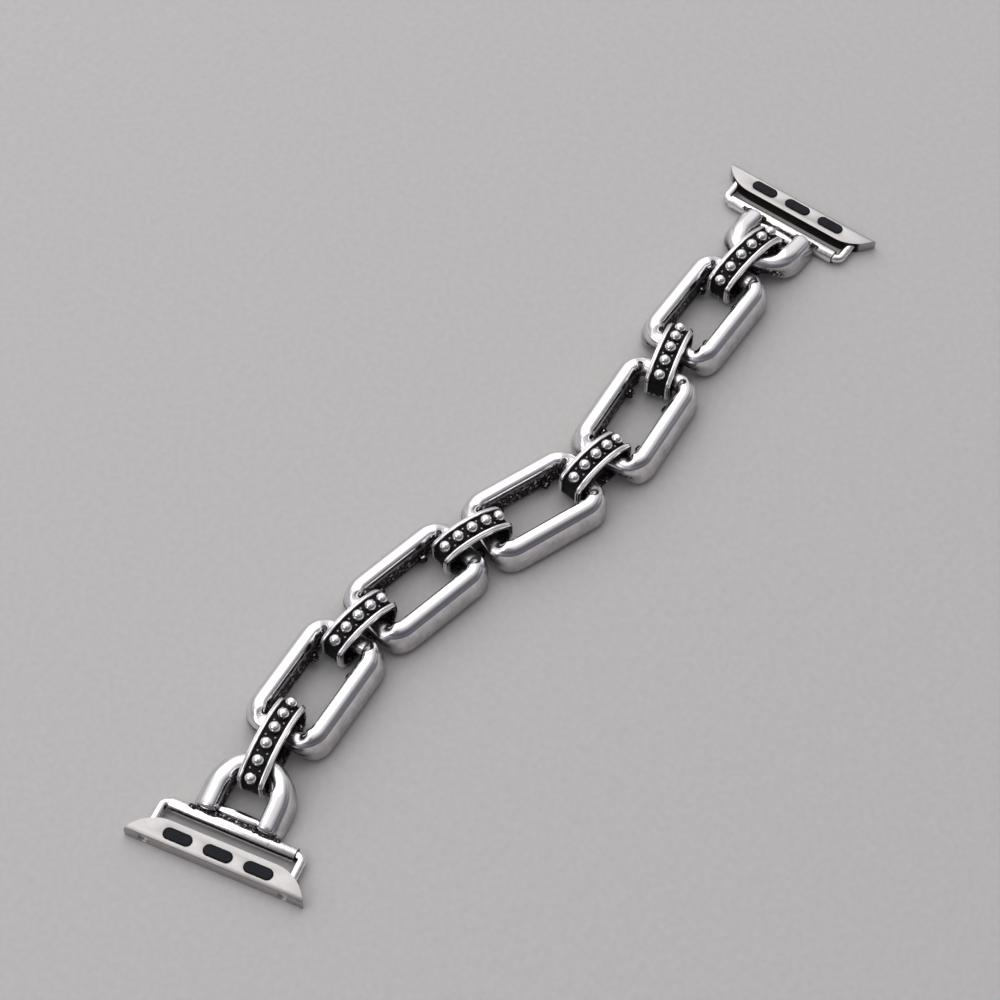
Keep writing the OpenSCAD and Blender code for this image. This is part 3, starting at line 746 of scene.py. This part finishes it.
def build_connector(k):
    length, crown_r, beads, pitch = RING_SIZES["outer" if k in (1, 6) else "inner"]
    bm = new_bmesh()
    rings = []
    for step in range(RING_STEPS):
        turn = 2 * math.pi * step / RING_STEPS
        high = skin_point(turn, 0, length, crown_r)[1]
        half = strap_section(ease((high - CHANNEL_FROM) / CHANNEL_OVER))
        points, values = [], []
        for side, row in ((1, half), (-1, half[::-1])):
            for out, depth, tarnish_and_shade in row:
                x, z = skin_point(turn, depth, length, crown_r)
                points.append((x, side * out, z))
                # The corners near the table are made darker, up to 0.75, and the flat underside is left clean
                values.append(tarnish_and_shade if high > CHANNEL_FROM else max(tarnish_and_shade, 0.75 * ease(high / 0.5)))
        rings.append(section_ring(bm, points, values))
    bridge(bm, rings, closed=True)
    seat = crown_r - CHANNEL_D + BEAD_LIFT
    for i in range(beads):
        turn = (i - (beads - 1) / 2) * pitch / crown_r
        spot = Vector((math.sin(turn) * seat, 0, RING_H - crown_r + math.cos(turn) * seat))
        ball = bmesh.ops.create_uvsphere(bm, u_segments=14, v_segments=9, radius=BEAD_D / 2 * SWELL,
                                         matrix=Matrix.Translation(spot))
        set_tarnish_and_shade(bm, ball["verts"], lambda co: 0.95 * ease((0.1 - (co - spot).z) / 0.45))
    # Small grains of metal between the beads, where the wax model was joined
    for i in range(beads - 1):
        turn = (i - (beads - 2) / 2) * pitch / crown_r
        for side in (-1, 1):
            low = crown_r - CHANNEL_D + GRAIN_LIFT
            at = Matrix.Translation((math.sin(turn) * low, side * GRAIN_SIDE,
                                     RING_H - crown_r + math.cos(turn) * low))
            grain = bmesh.ops.create_icosphere(bm, subdivisions=1, radius=GRAIN_R, matrix=at)
            set_tarnish_and_shade(bm, grain["verts"], lambda co: 0.3)
    return finish_piece(f"beaded_connector_{k}", bm, ring_place[k], f"connector_{k}", SILVER,
                        [f"connector_{k}"])


connectors = [build_connector(k) for k in CHAIN]
print("connectors built:", len(connectors))

# %% [markdown]
# ## Elastic loops
# Inside every connector an elastic loop pulls the two bars together, which is what makes the band stretch.
# Its one end goes with the connector and its other end with the next link, so it is blended between the two
# bodies and grows longer as the joint slides.

# %% Build the elastic loops
ELASTIC_T, ELASTIC_W, SLACK = 0.35, 1.8, 0.1
# Section as (across, out), with two shallow grooves between the cords
ELASTIC_SECTION = (
    (-0.9, 0.1), (-0.75, ELASTIC_T), (-0.45, ELASTIC_T), (-0.3, 0.28), (-0.15, ELASTIC_T), (0.15, ELASTIC_T),
    (0.3, 0.28), (0.45, ELASTIC_T), (0.75, ELASTIC_T), (0.9, 0.1), (0.75, 0.0), (-0.75, 0.0))
BEND_STEPS = 12


def bar_reach(k, n):
    """How far a bar reaches along the connector, over the width of the elastic, and its radius."""
    radius = HOOP_ROD / 2 if n in (1, 12) else BAR_D / 2
    name = f"connector_{k}_swing" if n % 2 else (f"link_{k}_swing" if k < 6 else "hoop_b_swing")
    axis = Vector(joint[name]["axis"])
    skew = math.asin(max(-1, min(1, abs(axis.dot(ring_heading[k])))))
    extra = radius * (1 / math.cos(skew) - 1) + ELASTIC_W / 2 * math.tan(skew)
    if n in (1, 12):
        extra += (ELASTIC_W / 2) ** 2 / (HOOP_W - HOOP_ROD)
    return extra, radius


def build_elastic(k):
    """Builds the loop of a connector and hands back the distance between its two bars."""
    first, last = bars[2 * k - 1], bars[2 * k]
    place = frame_at(Vector((first.x, first.y, 0)), ring_heading[k])
    run = Vector((last.x - first.x, last.y - first.y)).length / MM
    (extra_a, radius_a), (extra_b, radius_b) = bar_reach(k, 2 * k - 1), bar_reach(k, 2 * k)
    ends = [(-extra_a, first.z / MM, radius_a + SLACK, 90),
            (run + extra_b, last.z / MM, radius_b + SLACK, -90)]
    bm = new_bmesh()
    rings = []
    for x, z, radius, start in ends:
        for step in range(BEND_STEPS + 1):
            turn = math.radians(start + 180 / BEND_STEPS * step)
            points = []
            for across, out in ELASTIC_SECTION:
                reach = radius + out
                points.append((x + reach * math.cos(turn), across, z + reach * math.sin(turn)))
            rings.append(section_ring(bm, points, [1.0] * len(points)))
    bridge(bm, rings, closed=True)
    made = finish_piece(f"elastic_loop_{k}", bm, place, None, ELASTIC, [f"elastic_{k}"],
                        levels=1)
    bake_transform(made, f"connector_{k}", f"elastic_{k}", start=tuple(first), end=tuple(last))
    return run


runs = [build_elastic(k) for k in CHAIN]
print("distance between the bars, mm:", [round(run, 2) for run in runs])

# %% [markdown]
# ## Lugs, wires, tubes and pads
# These are turned, drawn and moulded parts, so the CAD solids already have their true shape. What they lack
# is the thin break on every edge that catches the light. A copy of each solid is merged into a clean mesh and
# its sharp edges get that break.

# %% Copies of the CAD solids, with broken edges
# Corners closer than this are one, faces within this many degrees are one, an edge over the next number of
# degrees is broken, and one over the last number is shaded sharp
MERGE_MM, FLAT_DEG, CORNER_DEG, SMOOTH_DEG = 0.002, 0.5, 40, 30
PLATE_EDGE, PAD_EDGE, PAD_SHADOW_RIM, TUBE_EDGE = 0.22, 0.08, 0.22, 0.1


def from_solid(node, name, finish, edge_mm, shaded_sides=(), shadow_rim_mm=0):
    """Copies a solid and breaks its edges. Faces that look towards a shaded side get full painted shade."""
    bm = new_bmesh()
    bm.from_mesh(frame["nodes"][node].data)
    bmesh.ops.remove_doubles(bm, verts=bm.verts, dist=MERGE_MM * MM)
    bmesh.ops.dissolve_limit(bm, angle_limit=math.radians(FLAT_DEG), verts=bm.verts, edges=bm.edges)
    if edge_mm:
        edges = [e for e in bm.edges if e.is_manifold and e.calc_face_angle(0) > math.radians(CORNER_DEG)]
        bmesh.ops.bevel(bm, geom=edges, offset=edge_mm * MM, offset_type="OFFSET", affect="EDGES",
                        segments=2, profile=0.5, material=-1, clamp_overlap=True)
    if shadow_rim_mm:
        # Painted shadow all round, and clean again inside a rim on the upper faces
        set_tarnish_and_shade(bm, bm.verts, lambda co: 1.0)
        upper = [f for f in bm.faces if f.normal.z > 0.99]
        bmesh.ops.inset_individual(bm, faces=upper, thickness=shadow_rim_mm * MM, use_even_offset=True)
        for face in upper:
            set_tarnish_and_shade(bm, face.verts, lambda co: 0.0)
    for side in shaded_sides:
        for face in bm.faces:
            if face.normal.dot(side) > 0.8:
                set_tarnish_and_shade(bm, face.verts, lambda co: 1.0)
    body = next(b for b, members in frame["record"]["behaviour"]["bodies"].items() if node in members)
    return finish_piece(name, bm, Matrix.Identity(4), body, finish, [node], levels=0,
                        sharp=SMOOTH_DEG)


for end in "ab":
    towards_band = lug_place[end].to_3x3() @ Vector((1 / MM, 0, 0))
    along_tube = lug_place[end].to_3x3() @ Vector((0, 1 / MM, 0))
    # The rear wall of the plate, towards the band, gets painted shade
    from_solid(f"lug_plate_{end}", f"slide_in_lug_{end}", STEEL, PLATE_EDGE, [towards_band])
    for node, name in ((f"side_pads_{end}", f"rubber_pads_{end}"), (f"latch_{end}", f"latch_button_{end}")):
        # Pads and latch buttons get a painted shadow round their rims
        from_solid(node, name, SILICONE, PAD_EDGE, shadow_rim_mm=PAD_SHADOW_RIM)
    coil = from_solid(f"latch_spring_{end}", f"latch_coil_{end}", WIRE, 0)
    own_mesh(coil)
    from_solid(f"bail_{end}", f"wire_bail_{end}", WIRE, 0)
    # Both ends of the hinge tube get painted shade
    from_solid(f"hinge_tube_{end}", f"tube_hinge_{end}", WIRE, TUBE_EDGE,
               [along_tube, -along_tube])

# %% [markdown]
# ## Table and light
# The band lies on a plain pale table under a large soft lamp, with a small one on the left. Polished metal
# shows its surroundings rather than its own colour, so the world matters as much as the lamps: bright behind
# the key lamp, so that the crowns turn white, and dim on the side of the camera, so that the walls that face
# it stay grey.

# %% Table
# In metres. The table lies a hair under the band, so that no two skins share a plane
BAND_MIDDLE, TABLE_HALF, HAIR = Vector((0.08, 0, 0)), 1.5, 0.02 * MM
bm = bmesh.new()
bmesh.ops.create_grid(bm, x_segments=1, y_segments=1, size=TABLE_HALF)
bmesh.ops.translate(bm, verts=bm.verts, vec=BAND_MIDDLE - Vector((0, 0, HAIR)))
table_mesh = bpy.data.meshes.new("table")
bm.to_mesh(table_mesh)
bm.free()
table = bpy.data.objects.new("table", table_mesh)
bpy.context.scene.collection.objects.link(table)
paper, tree, coords = new_material("pale_matt_paper")
fibres = add(tree, "TexNoise", {
    "Vector": coords, "Scale": 1 / (1.2 * MM), "Detail": 3.0, "Roughness": 0.55})
shader = add(tree, "BsdfPrincipled", {
    "Base Color": add(tree, "ValToRGB", {"Fac": fibres}, stops=[(0.3, "#bbb9b8"), (0.7, "#c1bfbe")]),
    "Roughness": 0.9,
    "Specular IOR Level": 0.2,
})
add(tree, "OutputMaterial", {"Surface": shader})
table_mesh.materials.append(paper)
print("table, mm:", round(table.dimensions.x / MM))

# %% Light
world = bpy.data.worlds.new("soft_room")
bpy.context.scene.world = world
world.use_nodes = True
tree = world.node_tree
tree.nodes.clear()
# The room is bright behind the key lamp and dim on the side of the camera
KEY_AT = Vector((0.322, 0.456, 0.737))
direction = add(tree, "TexCoord", out="Generated")
facing = add(tree, "VectorMath", {0: direction, 1: KEY_AT.normalized()}, out="Value", operation="DOT_PRODUCT")
share = add(tree, "MapRange", {
    "Value": facing, "From Min": -1.0, "From Max": 1.0, "To Min": 0.0, "To Max": 1.0})
sky = add(tree, "ValToRGB", {"Fac": share}, stops=[
    (0.2, "#47444c"), (0.5, "#7c7982"), (0.7, "#bdbcc2"), (0.9, "#ffffff")])
# The photographer stands dark behind the lens, and draws a thin line along every polished bar
lens = (CAMERA_AT - CAMERA_TO).normalized()
behind = add(tree, "VectorMath", {0: direction, 1: lens}, out="Value", operation="DOT_PRODUCT")
figure = add(tree, "MapRange", {
    "Value": behind, "From Min": 0.965, "From Max": 0.985, "To Min": 0.0, "To Max": 0.6})
seen = add(tree, "Mix", {"Factor": figure, 6: sky, 7: linear("#3d3a44")}, out=2, data_type="RGBA")
background = add(tree, "Background", {"Color": seen, "Strength": 0.85})
add(tree, "OutputWorld", {"Surface": background})

# Name, place and side of a lamp in metres, and its power in watts
LAMPS = (("key", KEY_AT, 1.1, 4.1), ("left", (-0.45, 0.25, 0.5), 0.35, 0.6))
for name, at, size, power in LAMPS:
    lamp = bpy.data.lights.new(name, "AREA")
    lamp.size, lamp.energy = size, power
    holder = bpy.data.objects.new(name, lamp)
    bpy.context.scene.collection.objects.link(holder)
    holder.location = at
    holder.rotation_mode = "QUATERNION"
    holder.rotation_quaternion = (BAND_MIDDLE - Vector(at)).to_track_quat("-Z", "Y")
bpy.context.scene.view_settings.view_transform = "Standard"
print("lamps:", len(bpy.data.lights))
